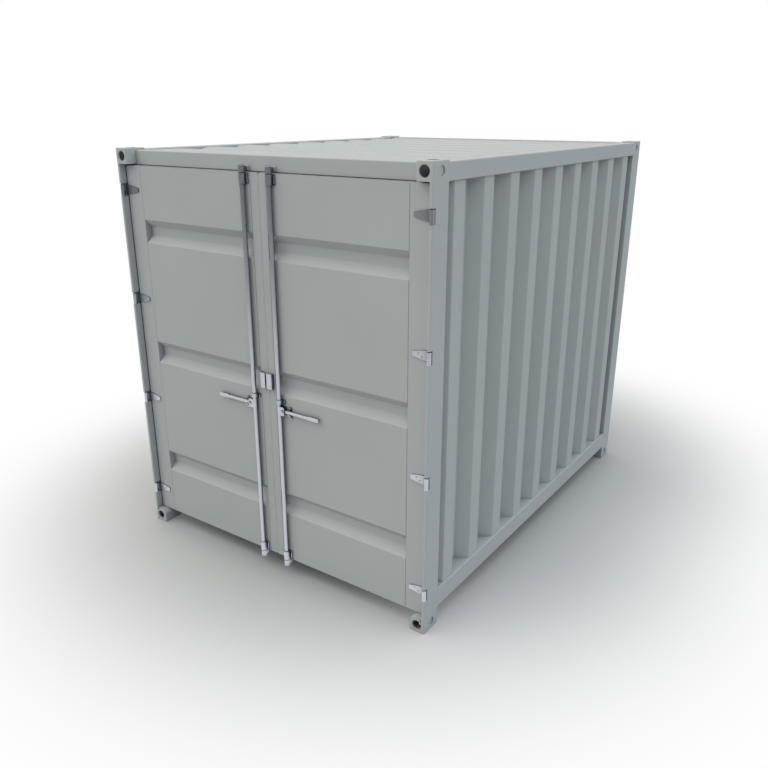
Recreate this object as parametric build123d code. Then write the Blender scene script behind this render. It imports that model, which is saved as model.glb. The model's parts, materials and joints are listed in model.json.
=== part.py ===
from build123d import *

import os

# Overall size of the container, mm. X is across, doors face -Y, Z is up.
WIDTH = 2300
LENGTH = 2991
HEIGHT = 2591

# Corner castings
CASTING_X = 100
CASTING_Y = 142
CASTING_Z = 94
CASTING_WALL = 12
CASTING_HOLE_R = 30
CASTING_HOLE_FROM_END = 78
CASTING_SIDE_R = 25
CASTING_SIDE_DEPTH = 7
CASTING_EDGE_R = 6
CASTING_CORNER_R = 18
ARCH_R = 44
ARCH_STEP = 8
ARCH_WALL = 20

# Rails, header and sill
RAIL_WALL = 5
TUBE_EDGE_R = 6
TOP_RAIL_Z = (2490, 2582)
BOTTOM_RAIL_Z = (106, 229)
HEADER_RECESS = 72
HEADER_TOP_Z = 2578
HEADER_LIP_Z = 2450
HEADER_LIP_Y = 20
SILL_Z = (60, 228)

# Corner posts and door jambs
POST_PLATE = 8
POST_LIP_X = 19
POST_CORNER_R = 6
JAMB_DEPTH = 31.5

# Corrugated sheets
SHEET = 4
FOLD_R = 9
RIDGE_PITCH = 306
SIDE_RIDGES = 9
BACK_RIDGES = 6
RIDGE_FLAT = 105
RIDGE_SLOPE_RUN = 58
RIDGE_DEPTH = 75
RIDGE_SETBACK = 11
ROOF_TOP_Z = 2575
ROOF_TROUGHS = 8
ROOF_PITCH = 320
ROOF_FIRST_TROUGH = 532
ROOF_TROUGH_FLAT = 100
ROOF_TROUGH_RUN = 60
ROOF_TROUGH_DEPTH = 18

# Floor
FLOOR_TOP_Z = 228
FLOOR_THICKNESS = 28
BEAM_COUNT = 8
BEAM_WIDTH = 50
BEAM_WALL = 5
BEAM_BOTTOM_Z = 110

# Doors
DOOR_RECESS = 43.5
DOOR_THICKNESS = 60
DOOR_GAP = 5
DOOR_EDGE_X = 1112
DOOR_Z = (99, 2485)
HINGE_STILE_X = 994
LOCK_STILE_X = 58
STILE_WALL = 4
STILE_EDGE_R = 3
DOOR_RAIL_HEIGHT = 60
SEAM = 2
GROOVE_PITCH = 796
GROOVE_HALF_OPENING = 73
GROOVE_HALF_FLOOR = 27
GROOVE_DEPTH = 45

# Hinges
HINGE_PIN_X = 1138
HINGE_PIN_SETBACK = 12.5
HINGE_FIRST_Z = 255
HINGE_PITCH = 695
HINGE_COUNT = 4
BARREL_R = 12
PIN_R = 6
PIN_FIT = 0.3
BARREL_HALF = 31
BARREL_SPLIT = -13
BARREL_GAP = 0.5
PIN_PROUD = 5
LUG_CLEARANCE = 2
NOTCH_HALF = 40
NOTCH_DEPTH = 30
LEAF_X = (1022, 1094)
LEAF_TIP_HALF = 12.5
LEAF_ROOT_HALF = 26
LEAF_THICKNESS = 6
ARM_THICKNESS = 11
LEAF_TIP_R = 6

# Lock bars, keepers and guides
BAR_X = 100
BAR_R = 13.5
BAR_SETBACK = 23.5
BAR_Z = (60, 2528)
BAR_HEAD_R = 16.5
BAR_HEAD_LENGTH = 39
CAM_WIDTH = 20
CAM_REACH = 32
CAM_HEIGHT = 24
KEEPER_X = (84, 116)
KEEPER_HEIGHT = 28
KEEPER_FRONT_SETBACK = 62.5
KEEPER_EDGE_R = 3
GUIDE_Z = ((104, 163), (1170, 1194), (2427, 2484))
GUIDE_STRAP = 4
GUIDE_FIT = 0.4
GUIDE_FOOT_REACH = 34
GUIDE_FOOT = 5

# Handles, catches and padlock plates
HANDLE_Z = 1128
HUB_HALF = 27
HUB_PIVOT_X = 131
HUB_END_X = 144
HUB_PLATE = 6
HUB_FIT = 1
HUB_CORNER_R = 8
PIVOT_R = 6
ARM_WIDTH = 12
ARM_HALF = 9
GRIP_HALF = 12
GRIP_X = 324
HANDLE_TIP_X = 402
CATCH_X = (163, 181)
CATCH_Z = (1084, 1157)
CATCH_PLATE = 5
CATCH_SHELF_Z = (1104, 1111)
CATCH_SHELF_REACH = 22
CATCH_RIVET_Z = (1092, 1148)
CATCH_RIVET_R = 6.5
CATCH_RIVET_REACH = 4
PADLOCK_PLATE_X = (6, 46)
PADLOCK_PLATE_Z = (1244, 1340)
PADLOCK_PLATE_REACH = 23
PADLOCK_PLATE_WALL = 6
PADLOCK_PLATE_CORNER_R = 5

# How far a cut runs past the face that it opens, and how close two places are to count as one
PAST = 1
NEAR = 0.01

# Worked-out places
HALF_W = WIDTH / 2
FRONT = -LENGTH / 2
BACK = LENGTH / 2
INNER_X = HALF_W - CASTING_X
POST_Y = FRONT + CASTING_Y
BACK_POST_Y = BACK - CASTING_Y
BACK_FRAME_Y = BACK - CASTING_X
DOOR_FACE = FRONT + DOOR_RECESS
DOOR_INSIDE = DOOR_FACE + DOOR_THICKNESS
JAMB_FACE = POST_Y - JAMB_DEPTH
LIP_X = HALF_W - POST_LIP_X
POST_Z = (CASTING_Z, HEIGHT - CASTING_Z)
PIN_Y = FRONT + HINGE_PIN_SETBACK
BAR_Y = FRONT + BAR_SETBACK
HEADER_FACE = FRONT + HEADER_RECESS
HINGE_HEIGHTS = [HINGE_FIRST_Z + i * HINGE_PITCH for i in range(HINGE_COUNT)]


def block(x, y, z):
    """Box between the given pairs of limits."""
    centre = [(low + high) / 2 for low, high in (x, y, z)]
    size = [high - low for low, high in (x, y, z)]
    return Pos(*centre) * Box(*size)


def rod(x, y, z, radius):
    """Upright cylinder between two heights."""
    return Pos(x, y, (z[0] + z[1]) / 2) * Cylinder(radius, z[1] - z[0])


def inset(limits, amount):
    return (limits[0] + amount, limits[1] - amount)


def tube(x, y, z, axis, wall):
    """Open-ended rectangular tube along one axis, with rounded long edges."""
    along = {"x": Axis.X, "y": Axis.Y, "z": Axis.Z}[axis]
    outer = fillet(block(x, y, z).edges().filter_by(along), TUBE_EDGE_R)
    inner = [limits if name == axis else inset(limits, wall) for name, limits in zip("xyz", (x, y, z))]
    return outer - block(*inner)


def folded_sheet(points, plane, length, side):
    """Sheet of even thickness bent along a line of points, with rounded folds, extruded from a plane."""
    with BuildLine() as line:
        FilletPolyline(*points, radius=FOLD_R)
        offset(amount=SHEET, side=side, kind=Kind.INTERSECTION)
    return extrude(plane * make_face(line.edges()), amount=length)


def mirrored(part):
    return mirror(part, about=Plane.YZ)


def write(name, *solids):
    shape = solids[0] if len(solids) == 1 else Compound(children=list(solids))
    export_step(shape, f"parts/{name}.step")


def write_pair(name, *solids):
    """Right-hand piece and its left-hand twin."""
    write(name.format(side="right"), *solids)
    write(name.format(side="left"), *[mirrored(solid) for solid in solids])


def on_line(edge, line):
    """Whether the middle of an edge has those of the three coordinates that the line fixes."""
    middle = edge.center()
    places = zip(line, (middle.X, middle.Y, middle.Z))
    return all(fixed is None or abs(fixed - place) < NEAR for fixed, place in places)


def arch_spaces():
    """Room above the arch of a bottom block at the doors, beside the post's lip.

    It runs the whole depth of the block on the door's side, and is a shallow step beside the lip.
    """
    middle = (INNER_X + LIP_X) / 2
    z = (CASTING_Z - ARCH_R, CASTING_Z + PAST)
    spaces = block((INNER_X - PAST, middle), (FRONT - PAST, POST_Y + PAST), z)
    spaces += block((middle, LIP_X), (FRONT - PAST, FRONT + ARCH_STEP), z)
    return spaces - Pos(middle, 0, z[0]) * Rot(90, 0, 0) * Cylinder(ARCH_R, LENGTH + 2 * PAST)


def casting(top, back):
    """Hollow corner block with a round hole in its end and its top or bottom, and a round side recess.

    Edges that run on into a post or a rail stay sharp and the others are rounded. At the doors a top
    block has a larger radius on the upright edge beside the door, and a bottom block ends in an arch.
    """
    low = HEIGHT - CASTING_Z if top else 0
    y = (BACK_POST_Y, BACK) if back else (FRONT, POST_Y)
    x = (INNER_X, HALF_W)
    z = (low, low + CASTING_Z)
    room_z = inset(z, CASTING_WALL)
    shell = block(x, y, z)
    sharp = [(None, None, z[0] if top else z[1])]
    if top:
        sharp.append((HALF_W, BACK_POST_Y if back else POST_Y, None))
    if top and back:
        sharp.append((INNER_X, BACK, None))
    if top and not back:
        beside_door = [edge for edge in shell.edges() if on_line(edge, (INNER_X, FRONT, None))]
        shell = fillet(beside_door, CASTING_CORNER_R)
        sharp.append((INNER_X + CASTING_CORNER_R, FRONT, None))
        sharp.append((INNER_X, FRONT + CASTING_CORNER_R, None))
    if not top and not back:
        shell -= arch_spaces()
        room_z = (z[0] + CASTING_WALL, z[1] - ARCH_WALL)
        sharp.append((None, FRONT + ARCH_STEP, None))
        sharp.append((LIP_X, None, None))
    rounded = [edge for edge in shell.edges() if not any(on_line(edge, line) for line in sharp)]
    shell = fillet(rounded, CASTING_EDGE_R)
    shell -= block(inset(x, CASTING_WALL), inset(y, CASTING_WALL), room_z)
    hole_y = BACK - CASTING_HOLE_FROM_END if back else FRONT + CASTING_HOLE_FROM_END
    centre = ((x[0] + x[1]) / 2, hole_y, low + CASTING_Z / 2)
    recess = Rot(0, 90, 0) * Cylinder(CASTING_SIDE_R, CASTING_SIDE_DEPTH * 2)
    shell -= Pos(HALF_W, centre[1], centre[2]) * recess
    bit = Cylinder(CASTING_HOLE_R, CASTING_WALL * 2)
    shell -= Pos(centre[0], BACK if back else FRONT, centre[2]) * Rot(90, 0, 0) * bit
    shell -= Pos(centre[0], centre[1], HEIGHT if top else 0) * bit
    return shell


def front_post():
    """Side plate with a front lip, notched for the hinges."""
    plate = block((HALF_W - POST_PLATE, HALF_W), (FRONT, POST_Y), POST_Z)
    lip = block((LIP_X, HALF_W), (FRONT, DOOR_FACE), POST_Z)
    post = plate + lip
    corner = post.edges().filter_by(Axis.Z).filter_by_position(Axis.X, HALF_W, HALF_W)
    post = fillet(corner.sort_by(Axis.Y)[:1], POST_CORNER_R)
    for height in HINGE_HEIGHTS:
        notch_z = (height - NOTCH_HALF, height + NOTCH_HALF)
        post -= block((LIP_X - PAST, HALF_W + PAST), (FRONT - PAST, FRONT + NOTCH_DEPTH), notch_z)
        post -= block((LIP_X - PAST, HALF_W - POST_PLATE), (FRONT - PAST, DOOR_FACE + PAST), notch_z)
    return post


def hinge_lug(height):
    """Lower half of a hinge barrel with its pin, standing in the post's notch."""
    lug_top = height + BARREL_SPLIT
    lug = rod(HINGE_PIN_X, PIN_Y, (height - NOTCH_HALF, lug_top), BARREL_R)
    return lug + rod(HINGE_PIN_X, PIN_Y, (lug_top, height + BARREL_HALF + PIN_PROUD), PIN_R)


def hinge_leaf(height):
    """Tapered leaf on the door, upper half of the barrel, and a bent arm that joins them."""
    tip, root = LEAF_X
    outline = Polyline(
        (tip, height - LEAF_TIP_HALF),
        (root, height - LEAF_ROOT_HALF),
        (root, height + LEAF_ROOT_HALF),
        (tip, height + LEAF_TIP_HALF),
        close=True,
    )
    face = make_face(outline)
    face = fillet(face.vertices().sort_by(Axis.X)[:2], LEAF_TIP_R)
    front_plane = Plane(origin=(0, DOOR_FACE, 0), x_dir=(1, 0, 0), z_dir=(0, -1, 0))
    leaf = extrude(front_plane * face, amount=LEAF_THICKNESS)
    lower = height - LEAF_ROOT_HALF
    bend = HINGE_PIN_X - BARREL_R
    arm_line = Polyline(
        (root - LEAF_THICKNESS, DOOR_FACE),
        (root - LEAF_THICKNESS, DOOR_FACE - LEAF_THICKNESS),
        (bend, DOOR_FACE - LEAF_THICKNESS),
        (bend, PIN_Y),
        (bend + ARM_THICKNESS, PIN_Y),
        (bend + ARM_THICKNESS, DOOR_FACE),
        close=True,
    )
    arm = extrude(Plane.XY.offset(lower) * make_face(arm_line), amount=2 * LEAF_ROOT_HALF)
    barrel_bottom = height + BARREL_SPLIT + BARREL_GAP
    arm -= rod(HINGE_PIN_X, PIN_Y, (lower - PAST, barrel_bottom), BARREL_R + LUG_CLEARANCE)
    barrel = rod(HINGE_PIN_X, PIN_Y, (barrel_bottom, height + BARREL_HALF), BARREL_R)
    bore = rod(HINGE_PIN_X, PIN_Y, (lower - PAST, height + BARREL_HALF + PAST), PIN_R + PIN_FIT)
    return leaf + arm + barrel - bore


def side_wall():
    """Upright ridges pressed outwards, between the bottom and top rails."""
    outer = HALF_W - RIDGE_SETBACK
    inner = outer - RIDGE_DEPTH
    points = [(inner, POST_Y)]
    for i in range(SIDE_RIDGES):
        centre = (i - (SIDE_RIDGES - 1) / 2) * RIDGE_PITCH
        points += ridge_points(centre, inner, outer, swap=False)
    points.append((inner, BACK_POST_Y))
    height = TOP_RAIL_Z[0] - BOTTOM_RAIL_Z[1]
    return folded_sheet(points, Plane.XY.offset(BOTTOM_RAIL_Z[1]), height, Side.LEFT)


def back_wall():
    outer = BACK - RIDGE_SETBACK
    inner = outer - RIDGE_DEPTH
    points = [(-INNER_X, inner)]
    for i in range(BACK_RIDGES):
        centre = (i - (BACK_RIDGES - 1) / 2) * RIDGE_PITCH
        points += ridge_points(centre, inner, outer, swap=True)
    points.append((INNER_X, inner))
    height = TOP_RAIL_Z[0] - BOTTOM_RAIL_Z[1]
    return folded_sheet(points, Plane.XY.offset(BOTTOM_RAIL_Z[1]), height, Side.RIGHT)


def ridge_points(centre, inner, outer, swap):
    """Four corners of one trapezoidal ridge along a wall."""
    half = RIDGE_FLAT / 2
    foot = half + RIDGE_SLOPE_RUN
    steps = [(inner, centre - foot), (outer, centre - half), (outer, centre + half), (inner, centre + foot)]
    return [(along, across) if swap else (across, along) for across, along in steps]


def roof():
    """Flat sheet with cross troughs pressed down, between the top rails."""
    points = [(POST_Y, ROOF_TOP_Z)]
    half = ROOF_TROUGH_FLAT / 2
    brim = half + ROOF_TROUGH_RUN
    low = ROOF_TOP_Z - ROOF_TROUGH_DEPTH
    for i in range(ROOF_TROUGHS):
        centre = FRONT + ROOF_FIRST_TROUGH + i * ROOF_PITCH
        points.append((centre - brim, ROOF_TOP_Z))
        points.append((centre - half, low))
        points.append((centre + half, low))
        points.append((centre + brim, ROOF_TOP_Z))
    points.append((BACK_FRAME_Y, ROOF_TOP_Z))
    return folded_sheet(points, Plane.YZ.offset(-INNER_X), 2 * INNER_X, Side.RIGHT)


def floor_beams():
    """Channels under the floor, from rail to rail."""
    top = FLOOR_TOP_Z - FLOOR_THICKNESS
    first = POST_Y + BEAM_WIDTH
    pitch = (BACK_FRAME_Y - BEAM_WIDTH - first) / (BEAM_COUNT - 1)
    beams = []
    for i in range(BEAM_COUNT):
        y = first + i * pitch
        outer = block((-INNER_X, INNER_X), (y - BEAM_WIDTH / 2, y + BEAM_WIDTH / 2), (BEAM_BOTTOM_Z, top))
        hollow_y = (y - BEAM_WIDTH / 2 + BEAM_WALL, y + BEAM_WIDTH / 2)
        hollow_z = (BEAM_BOTTOM_Z + BEAM_WALL, top - BEAM_WALL)
        beams.append(outer - block((-INNER_X, INNER_X), hollow_y, hollow_z))
    return beams


def front_header():
    """Hollow beam over the doors with a strip that the doors close against."""
    beam_z = (TOP_RAIL_Z[0], HEADER_TOP_Z)
    across = (-INNER_X, INNER_X)
    beam = tube(across, (HEADER_FACE, POST_Y), beam_z, "x", RAIL_WALL)
    lip_y = (JAMB_FACE, JAMB_FACE + HEADER_LIP_Y)
    return beam + block(across, lip_y, (HEADER_LIP_Z, TOP_RAIL_Z[0]))


def door_frame():
    """Hinge stile and lock stile joined by a rail at the top and the bottom."""
    y = (DOOR_FACE, DOOR_INSIDE)
    frame = None
    for x in ((HINGE_STILE_X, DOOR_EDGE_X), (DOOR_GAP, LOCK_STILE_X)):
        cavity_z = (DOOR_Z[0] - PAST, DOOR_Z[1] - STILE_WALL)
        stile = fillet(block(x, y, DOOR_Z).edges().filter_by(Axis.Z), STILE_EDGE_R)
        stile -= block(inset(x, STILE_WALL), inset(y, STILE_WALL), cavity_z)
        frame = stile if frame is None else frame + stile
    rail_x = (LOCK_STILE_X, HINGE_STILE_X)
    rail_y = (DOOR_FACE + SHEET, DOOR_INSIDE)
    for rail_z in ((DOOR_Z[0], DOOR_Z[0] + DOOR_RAIL_HEIGHT), (DOOR_Z[1] - DOOR_RAIL_HEIGHT, DOOR_Z[1])):
        frame += tube(rail_x, rail_y, rail_z, "x", STILE_WALL)
    return frame


def door_panel():
    """Outer sheet of a door with three grooves pressed inwards."""
    points = [(DOOR_FACE, DOOR_Z[0])]
    middle = (DOOR_Z[0] + DOOR_Z[1]) / 2
    floor = DOOR_FACE + GROOVE_DEPTH
    for step in (-1, 0, 1):
        centre = middle + step * GROOVE_PITCH
        points.append((DOOR_FACE, centre - GROOVE_HALF_OPENING))
        points.append((floor, centre - GROOVE_HALF_FLOOR))
        points.append((floor, centre + GROOVE_HALF_FLOOR))
        points.append((DOOR_FACE, centre + GROOVE_HALF_OPENING))
    points.append((DOOR_FACE, DOOR_Z[1]))
    start = LOCK_STILE_X + SEAM
    length = HINGE_STILE_X - LOCK_STILE_X - 2 * SEAM
    return folded_sheet(points, Plane.YZ.offset(start), length, Side.RIGHT)


def bar_guide(limits):
    """Strap over the lock bar with a foot on each side."""
    ring_r = BAR_R + GUIDE_FIT
    strap = rod(BAR_X, BAR_Y, limits, ring_r + GUIDE_STRAP)
    cheeks_x = (BAR_X - ring_r - GUIDE_STRAP, BAR_X + ring_r + GUIDE_STRAP)
    strap += block(cheeks_x, (BAR_Y, DOOR_FACE), limits)
    feet_x = (BAR_X - GUIDE_FOOT_REACH, BAR_X + GUIDE_FOOT_REACH)
    strap += block(feet_x, (DOOR_FACE - GUIDE_FOOT, DOOR_FACE), limits)
    strap -= rod(BAR_X, BAR_Y, limits, ring_r)
    strap -= block((BAR_X - ring_r, BAR_X + ring_r), (BAR_Y, DOOR_FACE), limits)
    return strap - block(feet_x, (DOOR_FACE, DOOR_INSIDE), limits)


def lock_bar():
    """Round bar with a head and cam at each end and the handle's hub plates."""
    bar = rod(BAR_X, BAR_Y, BAR_Z, BAR_R)
    for head_z in ((BAR_Z[0], BAR_Z[0] + BAR_HEAD_LENGTH), (BAR_Z[1] - BAR_HEAD_LENGTH, BAR_Z[1])):
        middle = (head_z[0] + head_z[1]) / 2
        cam_z = (middle - CAM_HEIGHT / 2, middle + CAM_HEIGHT / 2)
        bar += rod(BAR_X, BAR_Y, head_z, BAR_HEAD_R)
        bar += block((BAR_X - CAM_WIDTH / 2, BAR_X + CAM_WIDTH / 2), (BAR_Y, BAR_Y + CAM_REACH), cam_z)
    hub_z = (HANDLE_Z - HUB_HALF, HANDLE_Z + HUB_HALF)
    for plate_y in hub_plate_limits():
        plate = block((BAR_X, HUB_END_X), plate_y, hub_z)
        bar += fillet(plate.edges().filter_by(Axis.Y).sort_by(Axis.X)[-2:], HUB_CORNER_R)
    pin_y = (hub_plate_limits()[0][0], hub_plate_limits()[1][1])
    pin = Cylinder(PIVOT_R, pin_y[1] - pin_y[0])
    return bar + Pos(HUB_PIVOT_X, (pin_y[0] + pin_y[1]) / 2, HANDLE_Z) * Rot(90, 0, 0) * pin


def hub_plate_limits():
    """Places along Y of the two hub plates, in front of and behind the handle's arm."""
    gap = ARM_WIDTH / 2 + HUB_FIT
    return ((BAR_Y - gap - HUB_PLATE, BAR_Y - gap), (BAR_Y + gap, BAR_Y + gap + HUB_PLATE))


def handle():
    """Flat arm that lifts on the hub's pivot, with a rounded grip."""
    arm_y = (BAR_Y - ARM_WIDTH / 2, BAR_Y + ARM_WIDTH / 2)
    arm_z = (HANDLE_Z - ARM_HALF, HANDLE_Z + ARM_HALF)
    across = Pos(0, BAR_Y, HANDLE_Z) * Rot(90, 0, 0)
    arm = block((HUB_PIVOT_X, GRIP_X), arm_y, arm_z)
    arm += Pos(HUB_PIVOT_X, 0, 0) * across * Cylinder(ARM_HALF, ARM_WIDTH)
    grip_z = (HANDLE_Z - GRIP_HALF, HANDLE_Z + GRIP_HALF)
    arm += block((GRIP_X, HANDLE_TIP_X - GRIP_HALF), arm_y, grip_z)
    arm += Pos(HANDLE_TIP_X - GRIP_HALF, 0, 0) * across * Cylinder(GRIP_HALF, ARM_WIDTH)
    return arm - Pos(HUB_PIVOT_X, 0, 0) * across * Cylinder(PIVOT_R + PIN_FIT, ARM_WIDTH)


def handle_catch():
    """Plate on the door with a shelf under the handle's arm and a rivet at each end."""
    plate_face = DOOR_FACE - CATCH_PLATE
    catch = block(CATCH_X, (plate_face, DOOR_FACE), CATCH_Z)
    catch += block(CATCH_X, (DOOR_FACE - CATCH_SHELF_REACH, DOOR_FACE), CATCH_SHELF_Z)
    middle = (CATCH_X[0] + CATCH_X[1]) / 2
    for height in CATCH_RIVET_Z:
        rivet = Rot(90, 0, 0) * Cylinder(CATCH_RIVET_R, CATCH_RIVET_REACH)
        catch += Pos(middle, plate_face - CATCH_RIVET_REACH / 2, height) * rivet
    return catch


def padlock_plate():
    """Folded plate beside the meeting edge that takes the padlock's shackle."""
    face = (DOOR_FACE - PADLOCK_PLATE_REACH, DOOR_FACE - PADLOCK_PLATE_REACH + PADLOCK_PLATE_WALL)
    plate = block(PADLOCK_PLATE_X, face, PADLOCK_PLATE_Z)
    outer_edge = (PADLOCK_PLATE_X[1] - PADLOCK_PLATE_WALL, PADLOCK_PLATE_X[1])
    plate += block(outer_edge, (face[0], DOOR_FACE), PADLOCK_PLATE_Z)
    fold = plate.edges().filter_by(Axis.Z).sort_by(Axis.Y)[:2].sort_by(Axis.X)[-1]
    return fillet(fold, PADLOCK_PLATE_CORNER_R)


def keepers():
    """Blocks on the header and the sill, behind the bars' cams."""
    front = FRONT + KEEPER_FRONT_SETBACK
    blocks = []
    half = BAR_HEAD_LENGTH / 2
    for middle, face in ((BAR_Z[0] + half, JAMB_FACE), (BAR_Z[1] - half, HEADER_FACE)):
        keeper_z = (middle - KEEPER_HEIGHT / 2, middle + KEEPER_HEIGHT / 2)
        right = block(KEEPER_X, (front, face), keeper_z)
        right = fillet(right.faces().sort_by(Axis.Y)[0].edges(), KEEPER_EDGE_R)
        blocks += [right, mirrored(right)]
    return blocks


os.makedirs("parts", exist_ok=True)

for top, level in ((False, "bottom"), (True, "top")):
    for back, end in ((False, "front"), (True, "back")):
        write_pair(f"corner_{level}_{end}_{{side}}", casting(top, back))

write_pair("front_post_{side}", front_post())
jamb_x = (INNER_X, HALF_W - POST_PLATE)
write_pair("door_jamb_{side}", tube(jamb_x, (JAMB_FACE, POST_Y), POST_Z, "z", RAIL_WALL))
write_pair("back_post_{side}", tube((INNER_X, HALF_W), (BACK_POST_Y, BACK), POST_Z, "z", RAIL_WALL))
write_pair("hinge_lugs_{side}", *[hinge_lug(height) for height in HINGE_HEIGHTS])

rail_x = (INNER_X, HALF_W)
rail_y = (POST_Y, BACK_POST_Y)
write_pair("top_rail_{side}", tube(rail_x, rail_y, TOP_RAIL_Z, "y", RAIL_WALL))
write_pair("bottom_rail_{side}", tube(rail_x, rail_y, BOTTOM_RAIL_Z, "y", RAIL_WALL))
between = (-INNER_X, INNER_X)
write("front_header", front_header())
write("back_header", tube(between, (BACK_FRAME_Y, BACK), TOP_RAIL_Z, "x", RAIL_WALL))
write("front_sill", tube(between, (JAMB_FACE, POST_Y), SILL_Z, "x", RAIL_WALL))
write("back_sill", tube(between, (BACK_FRAME_Y, BACK), BOTTOM_RAIL_Z, "x", RAIL_WALL))

write_pair("{side}_wall", side_wall())
write("back_wall", back_wall())
write("roof", roof())
floor_z = (FLOOR_TOP_Z - FLOOR_THICKNESS, FLOOR_TOP_Z)
write("floor_boards", block(between, (POST_Y, BACK_FRAME_Y), floor_z))
write("floor_beams", *floor_beams())
write("bar_keepers", *keepers())

write_pair("{side}_door_frame", door_frame())
write_pair("{side}_door_panel", door_panel())
write_pair("{side}_door_hinges", *[hinge_leaf(height) for height in HINGE_HEIGHTS])
write_pair("{side}_door_bar_guides", *[bar_guide(limits) for limits in GUIDE_Z])
write_pair("{side}_door_lock_fittings", handle_catch(), padlock_plate())
write_pair("{side}_lock_bar", lock_bar())
write_pair("{side}_handle", handle())
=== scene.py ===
import json
import math

import bmesh
import bpy
from mathutils import Matrix, Vector


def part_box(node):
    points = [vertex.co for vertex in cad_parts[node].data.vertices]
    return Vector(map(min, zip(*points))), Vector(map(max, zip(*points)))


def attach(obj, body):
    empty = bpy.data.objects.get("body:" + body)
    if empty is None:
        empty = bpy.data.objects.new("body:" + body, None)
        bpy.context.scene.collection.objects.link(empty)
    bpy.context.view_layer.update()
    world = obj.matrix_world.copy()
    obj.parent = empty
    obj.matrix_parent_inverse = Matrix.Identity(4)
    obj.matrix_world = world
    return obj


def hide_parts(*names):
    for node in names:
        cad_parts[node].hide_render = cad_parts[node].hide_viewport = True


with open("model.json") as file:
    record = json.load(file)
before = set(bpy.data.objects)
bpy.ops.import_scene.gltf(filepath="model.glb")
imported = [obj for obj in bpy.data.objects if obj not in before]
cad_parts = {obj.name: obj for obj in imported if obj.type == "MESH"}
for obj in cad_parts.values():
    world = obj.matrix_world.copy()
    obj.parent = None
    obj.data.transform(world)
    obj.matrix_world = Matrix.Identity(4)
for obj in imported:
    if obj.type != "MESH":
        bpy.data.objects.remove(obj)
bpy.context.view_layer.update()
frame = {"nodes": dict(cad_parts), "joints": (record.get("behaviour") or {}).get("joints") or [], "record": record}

PAINT = "painted_steel"
ZINC = "galvanised_steel"
PLY = "plywood"
JOINT_PLACES = {joint["name"]: joint["pos_m"] for joint in frame["joints"]}

# Camera of the photograph, in the part's frame: metres, degrees and pixels
CAMERA_PLACE = (3.0191, -4.5566, 2.8018)
CAMERA_AZIMUTH = 35.019
CAMERA_ELEVATION = 19.756
FRAME_PIXELS = 768
FOCAL_PIXELS = 759.04
SENSOR_MM = 36.0

# Soft light: direction it comes from, how tightly it gathers there, and its colour
SKY_LOBES = (
    ((0.0, 0.0, 1.0), 0, (0.255, 0.240, 0.246)),
    ((0.0, 0.0, 1.0), 4, (0.992, 0.913, 0.760)),
    ((-0.60, -0.45, 0.66), 6, (1.979, 1.947, 1.832)),
    ((0.45, -0.60, 0.66), 6, (0.202, 0.470, 0.600)),
    ((0.60, 0.50, 0.62), 6, (1.113, 1.359, 1.592)),
)

# Floor: it takes the real shadow near the object and fades to white round a short line under it; the fade is
# shaped after the shadow, so the dim floor near the object is partly painted shadow
FLOOR_COLOUR = (0.45, 0.45, 0.45, 1)
# Painted shadow: colour the floor darkens to where it closes in under and beside the object
FLOOR_SHADE = (0.15, 0.15, 0.15, 1)
FLOOR_HALF = 40.0
FADE_MIDDLE = (-0.19, 0.35, 0.0)
FADE_HALF_LENGTH = 0.48
FADE_REACH = 2.46
FADE_POWER = 4.8

# Dark curved screen before the doors that only shows in polished metal, its span in degrees
SCREEN_RADIUS = 8.5
SCREEN_HEIGHT = 8.0
SCREEN_SPAN = (180, 400)
SCREEN_STEPS = 40
SCREEN_COLOUR = (0.16, 0.16, 0.165, 1)

# Colours, linear
PAINT_LIGHT = (0.50, 0.505, 0.50, 1)
PAINT_DARK = (0.47, 0.475, 0.47, 1)
# Painted shade: the paint's colour deep in corners and gaps
PAINT_PAINTED_SHADE = (0.10, 0.105, 0.105, 1)
ZINC_LIGHT = (0.60, 0.615, 0.66, 1)
ZINC_DARK = (0.55, 0.565, 0.605, 1)
# Painted shade: the zinc's colour on faces turned to a wall and in gaps, standing in for shade and a dark
# reflection
ZINC_PAINTED_SHADE = (0.05, 0.05, 0.055, 1)
# Seal rubber in two copies of one rubber: a darker one for the top and bottom seals and the seam strips, kept dark
# against the light from above on the top seal, and a paler one for the upright seals, lightening the shaded gaps
# at the doors' edges: painted shade and painted light
RUBBER_LIGHT = (0.34, 0.345, 0.34, 1)
RUBBER_DARK = (0.30, 0.305, 0.30, 1)
LIT_RUBBER_COPY_LIGHT = (0.60, 0.605, 0.60, 1)
LIT_RUBBER_COPY_DARK = (0.55, 0.555, 0.55, 1)
PLY_LIGHT = (0.30, 0.15, 0.07, 1)
PLY_DARK = (0.17, 0.08, 0.035, 1)

# Painted shade in corners and gaps, from ambient occlusion: reach in metres, openness where it is darkest and
# where it ends, strength
PAINTED_SHADE_SAMPLES = 5
PAINT_SHADE_CORNERS = (0.18, 0.0, 0.5, 0.95)
ZINC_SHADE_CORNERS = (0.08, 0.55, 0.88, 0.95)
FLOOR_SHADE_CORNERS = (0.35, 0.0, 0.8, 0.8)

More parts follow.
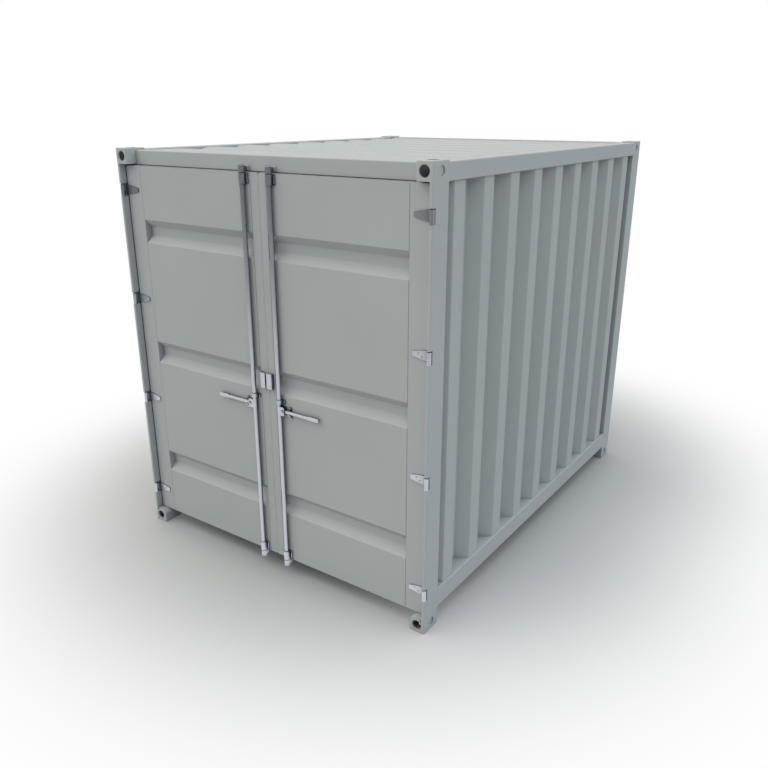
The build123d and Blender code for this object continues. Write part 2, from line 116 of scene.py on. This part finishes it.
# Textures: noise as scale and detail, relief as strength and depth in metres
NOISE_SPAN = (0.3, 0.7)
PAINT_DRIFT = (1.3, 4.0)
PAINT_MOTTLE = (60.0, 4.0)
PAINT_PEEL = (450.0, 2.0)
PAINT_DRIFT_SHARE = 0.7
PAINT_ROUGHNESS = (0.52, 0.62)
PAINT_SPECULAR = 0.03
PAINT_RELIEF = (0.1, 0.0005)
ZINC_CRYSTAL_SCALE = 110.0
ZINC_CRYSTAL_SHARE = 0.6
ZINC_HAZE = (14.0, 4.0)
ZINC_TONE_SPAN = (0.1, 0.9)
ZINC_ROUGHNESS = (0.34, 0.28)
ZINC_METALLIC = 0.8
ZINC_RELIEF = (0.05, 0.0005)
RUBBER_BLOOM = (35.0, 4.0)
RUBBER_BLOOM_SPAN = (0.35, 0.65)
RUBBER_GRAIN = (900.0, 2.0)
RUBBER_ROUGHNESS = (0.6, 0.75)
RUBBER_SPECULAR = 0.3
RUBBER_RELIEF = (0.15, 0.0003)
PLY_STRETCH = (24.0, 1.6, 24.0)
PLY_GRAIN = (4.0, 6.0)
PLY_GRAIN_ROUGHNESS = 0.65
PLY_GRAIN_SHARE = 0.75
PLY_ROUGHNESS = (0.45, 0.62)
PLY_RELIEF = (0.2, 0.0008)

# Mesh edges that turn by more than this many degrees stay sharp
SHARP_ANGLE = 40

# Pads on the guides' feet: height and half height of each pair, and the profile as inset and rise
GUIDE_PADS = ((0.1335, 0.020), (1.182, 0.009), (2.4555, 0.020))
GUIDE_PAD_REACH = 0.0272
GUIDE_FOOT = 0.005
PAD_HALF = 0.0048
PAD_RISE = 0.0045
PAD_STEPS = 8
PAD_PROFILE = ((0.0, -0.2), (0.0, 0.6), (0.12, 0.9), (0.3, 1.0))

# Hinges: rivets as distance from the middle plane and rise over the hinge's middle
HINGE_MIDDLES = (0.255, 0.95, 1.645, 2.34)
LEAF_RIVETS = ((1.058, 0.006), (1.080, -0.010))
LEAF_THICKNESS = 0.006
LEAF_RIVET_R = 0.0042
RIVET_HEAD = ((1.0, -0.1), (1.0, 0.12), (0.9, 0.3), (0.65, 0.45), (0.3, 0.52))
RIVET_STEPS = 16
PIN_CAP_Z = (0.0315, 0.0362)
PIN_CAP_R = 0.0085
PIN_CAP_TOP_R = 0.7 * PIN_CAP_R
PIN_CAP_STEPS = 20

# Collars at the ends of the lock bars, and the bolt of the handle's pivot with its profiles
COLLAR_R = 0.019
COLLAR_HEIGHT = 0.006
COLLAR_RIM = COLLAR_HEIGHT / 4
COLLAR_STEPS = 28
HUB_FACE_REACH = 0.013
PIVOT_BOLT_R = 0.0075
BOLT_WASHER = ((1.4, -0.1), (1.4, 0.18), (1.3, 0.26))
BOLT_DOME = ((1.0, 0.2), (1.0, 0.45), (0.93, 0.66), (0.76, 0.84), (0.5, 0.97), (0.2, 1.03))
BOLT_STEPS = 20

# Strips in the hinge notches: spans back from the post's front face and up from the hinge's middle
NOTCH_HALF = 0.040
NOTCH_STRIPS = (
    ((0.0262, 0.0300), (-NOTCH_HALF, NOTCH_HALF)),
    ((0.0005, 0.0262), (0.0372, NOTCH_HALF)),
)
TRIM_INNER_X = 1.132
TRIM_INSET = 0.0005

# Door seals: half width of the bulb and how far it stands out of the door's edge
MEETING_SEAL = (0.0025, 0.0045)
HINGE_SEAL = (0.012, 0.021)
TOP_SEAL = (0.015, 0.0045)
BOTTOM_SEAL = (0.007, 0.004)
TOP_SEAL_SETBACK = 0.020
BOTTOM_SEAL_SETBACK = 0.050
BOTTOM_SEAL_END_X = 1.040
SEAL_END = 0.003
SEAL_STEPS = 8

# Strips in the seams beside the door panels: place and direction, broken at the pressed grooves
SEAM_EDGES = ((0.058, 1), (0.994, -1))
SEAM_WIDTH = 0.002
SEAM_SINK = 0.0009
SEAM_DEPTH = 0.004
GROOVE_PITCH = 0.796
GROOVE_HALF = 0.073

# Floor boards, and screw heads as share of the radius and height over the board
BOARD_COUNT = 7
BOARD_GAP = 0.003
BOARD_EDGE = 0.002
BEAM_COUNT = 8
BEAM_HALF = 0.025
SCREW_R = 0.0055
SCREW_HEAD = ((1.0, -0.001), (1.0, 0.0), (0.6, 0.0006), (0.3, 0.0))
SCREW_EDGE = 0.045
SCREW_STEPS = 12

# Sockets of the Mix node that hold colours
MIX_FIRST, MIX_SECOND, MIX_RESULT = 6, 7, 2


class Nodes:
    """Short way to add and link shader nodes in one tree."""

    def __init__(self, tree):
        self.tree = tree
        tree.nodes.clear()

    def add(self, kind, settings=None, **inputs):
        node = self.tree.nodes.new(kind)
        for key, value in (settings or {}).items():
            setattr(node, key, value)
        for key, value in inputs.items():
            self.feed(node.inputs[key.replace("_", " ")], value)
        return node

    def feed(self, socket, value):
        if isinstance(value, bpy.types.NodeSocket):
            self.tree.links.new(value, socket)
        else:
            socket.default_value = value

    def operate(self, kind, operation, values):
        node = self.add(kind, {"operation": operation})
        for socket, value in zip(node.inputs, values):
            self.feed(socket, value)
        return node

    def math(self, operation, *values):
        return self.operate("ShaderNodeMath", operation, values).outputs[0]

    def vector(self, operation, *values):
        return self.operate("ShaderNodeVectorMath", operation, values)

    def ranged(self, value, span, result=(0.0, 1.0)):
        limits = {"From_Min": span[0], "From_Max": span[1], "To_Min": result[0], "To_Max": result[1]}
        return self.add("ShaderNodeMapRange", Value=value, **limits).outputs["Result"]

    def weighed(self, first, second, share):
        """Sum of two values, the first with its share and the second with the rest."""
        rest = self.math("MULTIPLY", second, 1 - share)
        return self.math("ADD", self.math("MULTIPLY", first, share), rest)

    def mixed(self, factor, first, second):
        node = self.add("ShaderNodeMix", {"data_type": "RGBA"}, Factor=factor)
        self.feed(node.inputs[MIX_FIRST], first)
        self.feed(node.inputs[MIX_SECOND], second)
        return node.outputs[MIX_RESULT]

    def mixed_shader(self, factor, first, second):
        node = self.add("ShaderNodeMixShader", Fac=factor)
        self.feed(node.inputs[1], first)
        self.feed(node.inputs[2], second)
        return node.outputs["Shader"]

    def noise(self, place, scale, detail, roughness=0.5):
        node = self.add("ShaderNodeTexNoise", Vector=place, Scale=scale, Detail=detail, Roughness=roughness)
        return node.outputs["Fac"]

    def painted_shade(self, distance, closed_at, open_at, strength):
        """Painted shade from ambient occlusion: 0 on open surfaces, rising to the given strength in corners, gaps
        and faces turned to a wall.
        """
        shade = self.add("ShaderNodeAmbientOcclusion", {"samples": PAINTED_SHADE_SAMPLES}, Distance=distance)
        return self.ranged(shade.outputs["AO"], (closed_at, open_at), (strength, 0.0))

    def relief(self, shader, height, strength, distance):
        bump = self.add("ShaderNodeBump", Strength=strength, Distance=distance, Height=height)
        self.feed(shader.inputs["Normal"], bump.outputs["Normal"])

    def seen_rays(self):
        """1 for rays that see the background: from the camera, and by reflection or through glass."""
        path = self.add("ShaderNodeLightPath").outputs
        seen = self.math("MAXIMUM", path["Is Camera Ray"], path["Is Glossy Ray"])
        return self.math("MAXIMUM", seen, path["Is Transmission Ray"])


def blank_material(name):
    material = bpy.data.materials.new(name)
    material.use_nodes = True
    return material, Nodes(material.node_tree)


def new_material(name):
    """Material with one main shader, and the place on the object that its textures follow."""
    material, nodes = blank_material(name)
    place = nodes.add("ShaderNodeTexCoord").outputs["Object"]
    shader = nodes.add("ShaderNodeBsdfPrincipled")
    nodes.add("ShaderNodeOutputMaterial", Surface=shader.outputs["BSDF"])
    return material, nodes, place, shader


def painted_steel():
    """Satin grey paint: slow drift of tone, fine mottling, shade painted into crevices and a light orange-peel
    texture.
    """
    material, nodes, place, shader = new_material(PAINT)
    drift = nodes.noise(place, *PAINT_DRIFT)
    mottle = nodes.noise(place, *PAINT_MOTTLE)
    tone = nodes.ranged(nodes.weighed(drift, mottle, PAINT_DRIFT_SHARE), NOISE_SPAN)
    paint = nodes.mixed(tone, PAINT_DARK, PAINT_LIGHT)
    # Painted shade: the base colour darkens in corners, gaps and under overhangs
    painted_shade = nodes.painted_shade(*PAINT_SHADE_CORNERS)
    nodes.feed(shader.inputs["Base Color"], nodes.mixed(painted_shade, paint, PAINT_PAINTED_SHADE))
    nodes.feed(shader.inputs["Roughness"], nodes.ranged(mottle, NOISE_SPAN, PAINT_ROUGHNESS))
    shader.inputs["Specular IOR Level"].default_value = PAINT_SPECULAR
    nodes.relief(shader, nodes.noise(place, *PAINT_PEEL), *PAINT_RELIEF)
    return material


def galvanised_steel():
    """Zinc coat with a pattern of crystals that differ in tone and gloss, and shade painted into its corners and
    gaps.
    """
    material, nodes, place, shader = new_material(ZINC)
    cells = nodes.add("ShaderNodeTexVoronoi", Vector=place, Scale=ZINC_CRYSTAL_SCALE)
    crystal = nodes.add("ShaderNodeSeparateColor", Color=cells.outputs["Color"]).outputs["Red"]
    haze = nodes.noise(place, *ZINC_HAZE)
    tone = nodes.weighed(crystal, haze, ZINC_CRYSTAL_SHARE)
    zinc = nodes.mixed(tone, ZINC_DARK, ZINC_LIGHT)
    # Painted shade: the zinc darkens on faces turned to a wall, such as the bars' sides facing the doors, and in
    # gaps
    painted_shade = nodes.painted_shade(*ZINC_SHADE_CORNERS)
    nodes.feed(shader.inputs["Base Color"], nodes.mixed(painted_shade, zinc, ZINC_PAINTED_SHADE))
    nodes.feed(shader.inputs["Roughness"], nodes.ranged(tone, ZINC_TONE_SPAN, ZINC_ROUGHNESS))
    shader.inputs["Metallic"].default_value = ZINC_METALLIC
    nodes.relief(shader, haze, *ZINC_RELIEF)
    return material


def rubber(name, dark, light):
    """Dull grey seal rubber with a faint bloom."""
    material, nodes, place, shader = new_material(name)
    bloom = nodes.ranged(nodes.noise(place, *RUBBER_BLOOM), RUBBER_BLOOM_SPAN)
    nodes.feed(shader.inputs["Base Color"], nodes.mixed(bloom, dark, light))
    nodes.feed(shader.inputs["Roughness"], nodes.ranged(bloom, (0.0, 1.0), RUBBER_ROUGHNESS))
    shader.inputs["Specular IOR Level"].default_value = RUBBER_SPECULAR
    nodes.relief(shader, nodes.noise(place, *RUBBER_GRAIN), *RUBBER_RELIEF)
    return material


def plywood():
    """Varnished plywood with grain along the container and a tone of its own for each board."""
    material, nodes, place, shader = new_material(PLY)
    across = nodes.add("ShaderNodeSeparateXYZ", Vector=place).outputs["X"]
    low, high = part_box("floor_boards")
    board = nodes.math("FLOOR", nodes.math("MULTIPLY", across, BOARD_COUNT / (high.x - low.x)))
    own = nodes.add("ShaderNodeTexWhiteNoise", {"noise_dimensions": "1D"}, W=board).outputs["Value"]
    stretched = nodes.add("ShaderNodeMapping", Vector=place, Scale=PLY_STRETCH).outputs["Vector"]
    grain = nodes.noise(stretched, *PLY_GRAIN, PLY_GRAIN_ROUGHNESS)
    tone = nodes.ranged(nodes.weighed(grain, own, PLY_GRAIN_SHARE), NOISE_SPAN)
    nodes.feed(shader.inputs["Base Color"], nodes.mixed(tone, PLY_DARK, PLY_LIGHT))
    nodes.feed(shader.inputs["Roughness"], nodes.ranged(grain, NOISE_SPAN, PLY_ROUGHNESS))
    nodes.relief(shader, grain, *PLY_RELIEF)
    return material


def floor_material():
    """Pale floor that takes the real shadow near the object, darkened further there by painted shadow, and fades
    to white further out.
    """
    material, nodes = blank_material("studio_floor")
    place = nodes.add("ShaderNodeTexCoord").outputs["Object"]
    # The fade to white is shaped after the object's shadow, so the dim floor near it is partly painted shadow
    offset = nodes.vector("ABSOLUTE", nodes.vector("SUBTRACT", place, FADE_MIDDLE).outputs[0])
    beyond = nodes.vector("SUBTRACT", offset.outputs[0], (0.0, FADE_HALF_LENGTH, 0.0))
    away = nodes.vector("LENGTH", nodes.vector("MAXIMUM", beyond.outputs[0], (0.0, 0.0, 0.0)).outputs[0])
    steep = nodes.math("POWER", nodes.math("DIVIDE", away.outputs["Value"], FADE_REACH), FADE_POWER)
    fade = nodes.math("SUBTRACT", 1.0, nodes.math("EXPONENT", nodes.math("MULTIPLY", steep, -1.0)))
    # Painted shadow: the floor darkens towards FLOOR_SHADE under and beside the object, from ambient occlusion
    tone = nodes.mixed(nodes.painted_shade(*FLOOR_SHADE_CORNERS), FLOOR_COLOUR, FLOOR_SHADE)
    matt = nodes.add("ShaderNodeBsdfDiffuse", Color=tone).outputs["BSDF"]
    white = nodes.add("ShaderNodeEmission").outputs["Emission"]
    faded = nodes.mixed_shader(nodes.math("MULTIPLY", fade, nodes.seen_rays()), matt, white)
    nodes.add("ShaderNodeOutputMaterial", Surface=faded)
    return material


def build_world():
    """Soft light from above and a white background."""
    world = bpy.data.worlds.new("studio")
    world.use_nodes = True
    bpy.context.scene.world = world
    nodes = Nodes(world.node_tree)
    way = nodes.add("ShaderNodeTexCoord").outputs["Generated"]
    total = (0.0, 0.0, 0.0)
    for direction, power, colour in SKY_LOBES:
        facing = nodes.math("MAXIMUM", nodes.vector("DOT_PRODUCT", way, direction).outputs["Value"], 0.0)
        lobe = nodes.vector("SCALE", colour)
        nodes.feed(lobe.inputs["Scale"], nodes.math("POWER", facing, power))
        total = nodes.vector("ADD", total, lobe.outputs[0]).outputs[0]
    light = nodes.add("ShaderNodeBackground", Color=total).outputs["Background"]
    white = nodes.add("ShaderNodeBackground", Color=(1, 1, 1, 1)).outputs["Background"]
    nodes.add("ShaderNodeOutputWorld", Surface=nodes.mixed_shader(nodes.seen_rays(), light, white))


def add_object(name, mesh, material):
    piece = bpy.data.objects.new(name, mesh)
    bpy.context.scene.collection.objects.link(piece)
    mesh.materials.append(material)
    return piece


def build_floor():
    mesh = bpy.data.meshes.new("studio_floor")
    corners = [(x, y, 0) for x, y in rectangle((-FLOOR_HALF, FLOOR_HALF), (-FLOOR_HALF, FLOOR_HALF))]
    mesh.from_pydata(corners, [], [(0, 1, 2, 3)])
    floor = add_object("studio_floor", mesh, floor_material())
    floor.visible_glossy = False


def build_screen():
    """Dark curved screen before the doors, seen by nothing but reflections."""
    material, nodes = blank_material("studio_screen")
    matt = nodes.add("ShaderNodeBsdfDiffuse", Color=SCREEN_COLOUR)
    nodes.add("ShaderNodeOutputMaterial", Surface=matt.outputs["BSDF"])
    start, end = SCREEN_SPAN
    points = []
    faces = []
    for step in range(SCREEN_STEPS + 1):
        angle = math.radians(start + (end - start) * step / SCREEN_STEPS)
        x, y = SCREEN_RADIUS * math.cos(angle), SCREEN_RADIUS * math.sin(angle)
        points += [(x, y, 0.0), (x, y, SCREEN_HEIGHT)]
        if step:
            last = 2 * step
            faces.append((last - 2, last, last + 1, last - 1))
    mesh = bpy.data.meshes.new("studio_screen")
    mesh.from_pydata(points, [], faces)
    screen = add_object("studio_screen", mesh, material)
    screen.visible_camera = False
    screen.visible_diffuse = False
    screen.visible_shadow = False
    screen.visible_transmission = False


def build_camera():
    camera = bpy.data.objects.new("camera", bpy.data.cameras.new("camera"))
    bpy.context.scene.collection.objects.link(camera)
    azimuth, elevation = math.radians(CAMERA_AZIMUTH), math.radians(CAMERA_ELEVATION)
    flat = math.cos(elevation)
    back = Vector((math.sin(azimuth) * flat, -math.cos(azimuth) * flat, math.sin(elevation)))
    camera.location = CAMERA_PLACE
    camera.rotation_mode = "QUATERNION"
    camera.rotation_quaternion = (-back).to_track_quat("-Z", "Y")
    camera.data.sensor_width = SENSOR_MM
    camera.data.lens = FOCAL_PIXELS / FRAME_PIXELS * SENSOR_MM
    bpy.context.scene.camera = camera


def dress_nodes(materials):
    """Gives every node the material of its slot in the record."""
    for subpart in frame["record"]["subparts"]:
        node = frame["nodes"][subpart["node"]]
        for slot in node.material_slots:
            slot.material = materials[subpart["material_slot"]]


def new_piece(name, bm, material, body):
    """Object from a finished mesh, smooth but for its sharp edges, that moves with a body."""
    mesh = bpy.data.meshes.new(name)
    bmesh.ops.recalc_face_normals(bm, faces=bm.faces)
    bm.to_mesh(mesh)
    bm.free()
    mesh.shade_smooth()
    mesh.set_sharp_from_angle(angle=math.radians(SHARP_ANGLE))
    piece = add_object(name, mesh, material)
    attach(piece, body)
    return piece


def add_skin(bm, loops):
    """Closed body over a row of matching loops of points."""
    rows = [[bm.verts.new(point) for point in loop] for loop in loops]
    count = len(rows[0])
    for lower, upper in zip(rows, rows[1:]):
        for i in range(count):
            after = (i + 1) % count
            bm.faces.new((lower[i], lower[after], upper[after], upper[i]))
    bm.faces.new(rows[0])
    bm.faces.new(rows[-1])


def add_turned(bm, rings, place, steps):
    """Turned body over rings of (radius, height) along Z of the place."""
    angles = [2 * math.pi * step / steps for step in range(steps)]
    loops = []
    for radius, height in rings:
        loops.append([place @ Vector((radius * math.cos(a), radius * math.sin(a), height)) for a in angles])
    add_skin(bm, loops)


def scaled(profile, size):
    return [(size * radius, size * height) for radius, height in profile]


def rectangle(first, second):
    """Corners of a rectangle, in order, from its two limits each way."""
    return [(first[0], second[0]), (first[1], second[0]), (first[1], second[1]), (first[0], second[1])]


def facing_front(x, y, z):
    """Place whose Z points out of the doors."""
    return Matrix.Translation((x, y, z)) @ Matrix.Rotation(math.pi / 2, 4, "X")


def add_bolt(bm, place, radius):
    """Round-headed bolt on a washer."""
    for profile in (BOLT_WASHER, BOLT_DOME):
        add_turned(bm, scaled(profile, radius), place, BOLT_STEPS)


def add_pad(bm, place, half_width, half_height, rise):
    """Raised pad with round ends and a softened rim, on the XY plane of the place."""
    corner = [math.pi * step / PAD_STEPS for step in range(PAD_STEPS + 1)]
    straight = half_height - half_width
    loops = []
    for inset, height in PAD_PROFILE:
        radius = half_width * (1 - inset)
        upper = [(radius * math.cos(a), straight + radius * math.sin(a)) for a in corner]
        lower = [(-x, -y) for x, y in upper]
        loops.append([place @ Vector((x, y, height * rise)) for x, y in upper + lower])
    add_skin(bm, loops)


def bulb(edge, middle, half, reach):
    """Section of a bulb seal on an edge: pairs of (outwards, along the edge's face)."""
    angles = [math.pi * step / SEAL_STEPS for step in range(SEAL_STEPS + 1)]
    return [(edge + reach * math.sin(a), middle - half * math.cos(a)) for a in angles]


def door_edges(side):
    """Corners of a door's box, and how far its meeting and hinge edges lie from the middle plane."""
    low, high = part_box(f"{side}_door_frame")
    return low, high, *sorted((abs(low.x), abs(high.x)))


def build_upright_seals(side, sign, material):
    """Bulb seals on a door's meeting edge and hinge edge."""
    low, high, x_meet, x_hinge = door_edges(side)
    ends = (low.z + SEAL_END, high.z - SEAL_END)
    bm = bmesh.new()
    for edge, outwards, (half, reach) in ((-x_meet, -sign, MEETING_SEAL), (x_hinge, sign, HINGE_SEAL)):
        section = bulb(edge, low.y + half, half, reach)
        add_skin(bm, [[(outwards * x, y, z) for x, y in section] for z in ends])
    new_piece(f"{side}_upright_seals", bm, material, f"{side}_door")


def add_seam_strips(bm, low, high, sign):
    """Strips in the seams beside a door's panel, broken where the pressed grooves cross them."""
    middle = (low.z + high.z) / 2
    grooves = [middle + step * GROOVE_PITCH for step in (-1, 0, 1)]
    bottoms = [low.z] + [groove + GROOVE_HALF for groove in grooves]
    tops = [groove - GROOVE_HALF for groove in grooves] + [high.z]
    for edge, step in SEAM_EDGES:
        x_pair = (sign * edge, sign * (edge + step * SEAM_WIDTH))
        section = rectangle(x_pair, (low.y + SEAM_SINK, low.y + SEAM_DEPTH))
        for ends in zip(bottoms, tops):
            add_skin(bm, [[(x, y, z) for x, y in section] for z in ends])


def build_door_seals(side, sign, material):
    """Bulb seals on a door's top and bottom edge, and the strips beside its panel."""
    low, high, x_meet, x_hinge = door_edges(side)
    x_start = sign * (x_meet + SEAL_END)
    bm = bmesh.new()
    section = bulb(high.z, low.y + TOP_SEAL_SETBACK, *TOP_SEAL)
    add_skin(bm, [[(x, y, z) for z, y in section] for x in (x_start, sign * (x_hinge - SEAL_END))])
    section = bulb(-low.z, low.y + BOTTOM_SEAL_SETBACK, *BOTTOM_SEAL)
    add_skin(bm, [[(x, y, -z) for z, y in section] for x in (x_start, sign * BOTTOM_SEAL_END_X)])
    add_seam_strips(bm, low, high, sign)
    new_piece(f"{side}_door_seals", bm, material, f"{side}_door")


def build_door_bolts(side, sign, material):
    """Pads on the guides' feet and rivets in the hinge leaves of a door."""
    door_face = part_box(f"{side}_door_panel")[0].y
    bar_x = JOINT_PLACES[f"{side}_bar_turn"][0]
    bm = bmesh.new()
    for z, half_height in GUIDE_PADS:
        for step in (-1, 1):
            place = facing_front(bar_x + step * GUIDE_PAD_REACH, door_face - GUIDE_FOOT, z)
            add_pad(bm, place, PAD_HALF, half_height, PAD_RISE)
    for height in HINGE_MIDDLES:
        for x, rise in LEAF_RIVETS:
            place = facing_front(sign * x, door_face - LEAF_THICKNESS, height + rise)
            add_turned(bm, scaled(RIVET_HEAD, LEAF_RIVET_R), place, RIVET_STEPS)
    new_piece(f"{side}_door_bolts", bm, material, f"{side}_door")


def build_bar_fittings(side, material):
    """Collars at the ends of a lock bar and the bolt of its handle's pivot."""
    bar_x, bar_y, _ = JOINT_PLACES[f"{side}_bar_turn"]
    pivot_x, pivot_y, pivot_z = JOINT_PLACES[f"{side}_handle_lift"]
    low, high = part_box(f"{side}_lock_bar")
    rim_r = COLLAR_R - COLLAR_RIM
    rings = [
        (rim_r, 0),
        (COLLAR_R, COLLAR_RIM),
        (COLLAR_R, COLLAR_HEIGHT - COLLAR_RIM),
        (rim_r, COLLAR_HEIGHT),
    ]
    bm = bmesh.new()
    for z in (low.z, high.z - COLLAR_HEIGHT):
        add_turned(bm, rings, Matrix.Translation((bar_x, bar_y, z)), COLLAR_STEPS)
    add_bolt(bm, facing_front(pivot_x, pivot_y - HUB_FACE_REACH, pivot_z), PIVOT_BOLT_R)
    new_piece(f"{side}_bar_fittings", bm, material, f"{side}_bar")


def build_pin_caps(side, material):
    """Caps on the hinge pins of a post."""
    pin_x, pin_y, _ = JOINT_PLACES[f"{side}_door_swing"]
    bottom, top = PIN_CAP_Z
    rings = [(PIN_CAP_R, bottom), (PIN_CAP_R, (bottom + top) / 2), (PIN_CAP_TOP_R, top)]
    bm = bmesh.new()
    for height in HINGE_MIDDLES:
        add_turned(bm, rings, Matrix.Translation((pin_x, pin_y, height)), PIN_CAP_STEPS)
    new_piece(f"{side}_hinge_pin_caps", bm, material, "container")


def build_notch_trims(side, sign, material):
    """Strips that line the hinge notches of a post, close to the barrels."""
    low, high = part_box(f"front_post_{side}")
    x_out = max(abs(low.x), abs(high.x)) - TRIM_INSET
    bm = bmesh.new()
    for height in HINGE_MIDDLES:
        for y_span, z_span in NOTCH_STRIPS:
            section = rectangle([low.y + y for y in y_span], [height + z for z in z_span])
            add_skin(bm, [[(sign * x, y, z) for y, z in section] for x in (TRIM_INNER_X, x_out)])
    new_piece(f"{side}_notch_trims", bm, material, "container")


def board_sides(low, high):
    """Left and right side of each floor board, with a gap between neighbours."""
    pitch = (high.x - low.x) / BOARD_COUNT
    starts = [low.x + i * pitch for i in range(BOARD_COUNT + 1)]
    return [(left + BOARD_GAP / 2, right - BOARD_GAP / 2) for left, right in zip(starts, starts[1:])]


def build_planks(material):
    """Floor boards along the container, with broken top edges."""
    low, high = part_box("floor_boards")
    shoulder = high.z - BOARD_EDGE
    bm = bmesh.new()
    for left, right in board_sides(low, high):
        section = [(left, low.z), (right, low.z), (right, shoulder), (right - BOARD_EDGE, high.z)]
        section += [(left + BOARD_EDGE, high.z), (left, shoulder)]
        add_skin(bm, [[(x, y, z) for x, z in section] for y in (low.y, high.y)])
    planks = new_piece("floor_planks", bm, material, "container")
    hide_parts("floor_boards")


def build_screws(material):
    """Screws through each floor board into every beam under it."""
    low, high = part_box("floor_boards")
    beams_low, beams_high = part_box("floor_beams")
    first, last = beams_low.y + BEAM_HALF, beams_high.y - BEAM_HALF
    rings = [(share * SCREW_R, high.z + rise) for share, rise in SCREW_HEAD]
    bm = bmesh.new()
    for left, right in board_sides(low, high):
        for row in range(BEAM_COUNT):
            y = first + (last - first) * row / (BEAM_COUNT - 1)
            for x in (left + SCREW_EDGE, right - SCREW_EDGE):
                add_turned(bm, rings, Matrix.Translation((x, y, 0)), SCREW_STEPS)
    new_piece("floor_screws", bm, material, "container")


materials = {PAINT: painted_steel(), ZINC: galvanised_steel(), PLY: plywood()}
# A darker and a paler copy of one seal rubber: painted shade on the top seal under the light from above, painted
# light in the shaded gaps at the upright seals
shaded_rubber_copy = rubber("rubber", RUBBER_DARK, RUBBER_LIGHT)
lit_rubber_copy = rubber("lit_rubber_copy", LIT_RUBBER_COPY_DARK, LIT_RUBBER_COPY_LIGHT)
dress_nodes(materials)
for side, sign in (("left", -1), ("right", 1)):
    build_upright_seals(side, sign, lit_rubber_copy)
    build_door_seals(side, sign, shaded_rubber_copy)
    build_door_bolts(side, sign, materials[ZINC])
    build_bar_fittings(side, materials[ZINC])
    build_pin_caps(side, materials[ZINC])
    build_notch_trims(side, sign, materials[PAINT])
build_planks(materials[PLY])
build_screws(materials[ZINC])
build_world()
build_floor()
build_screen()
build_camera()
bpy.context.scene.view_settings.view_transform = "Standard"
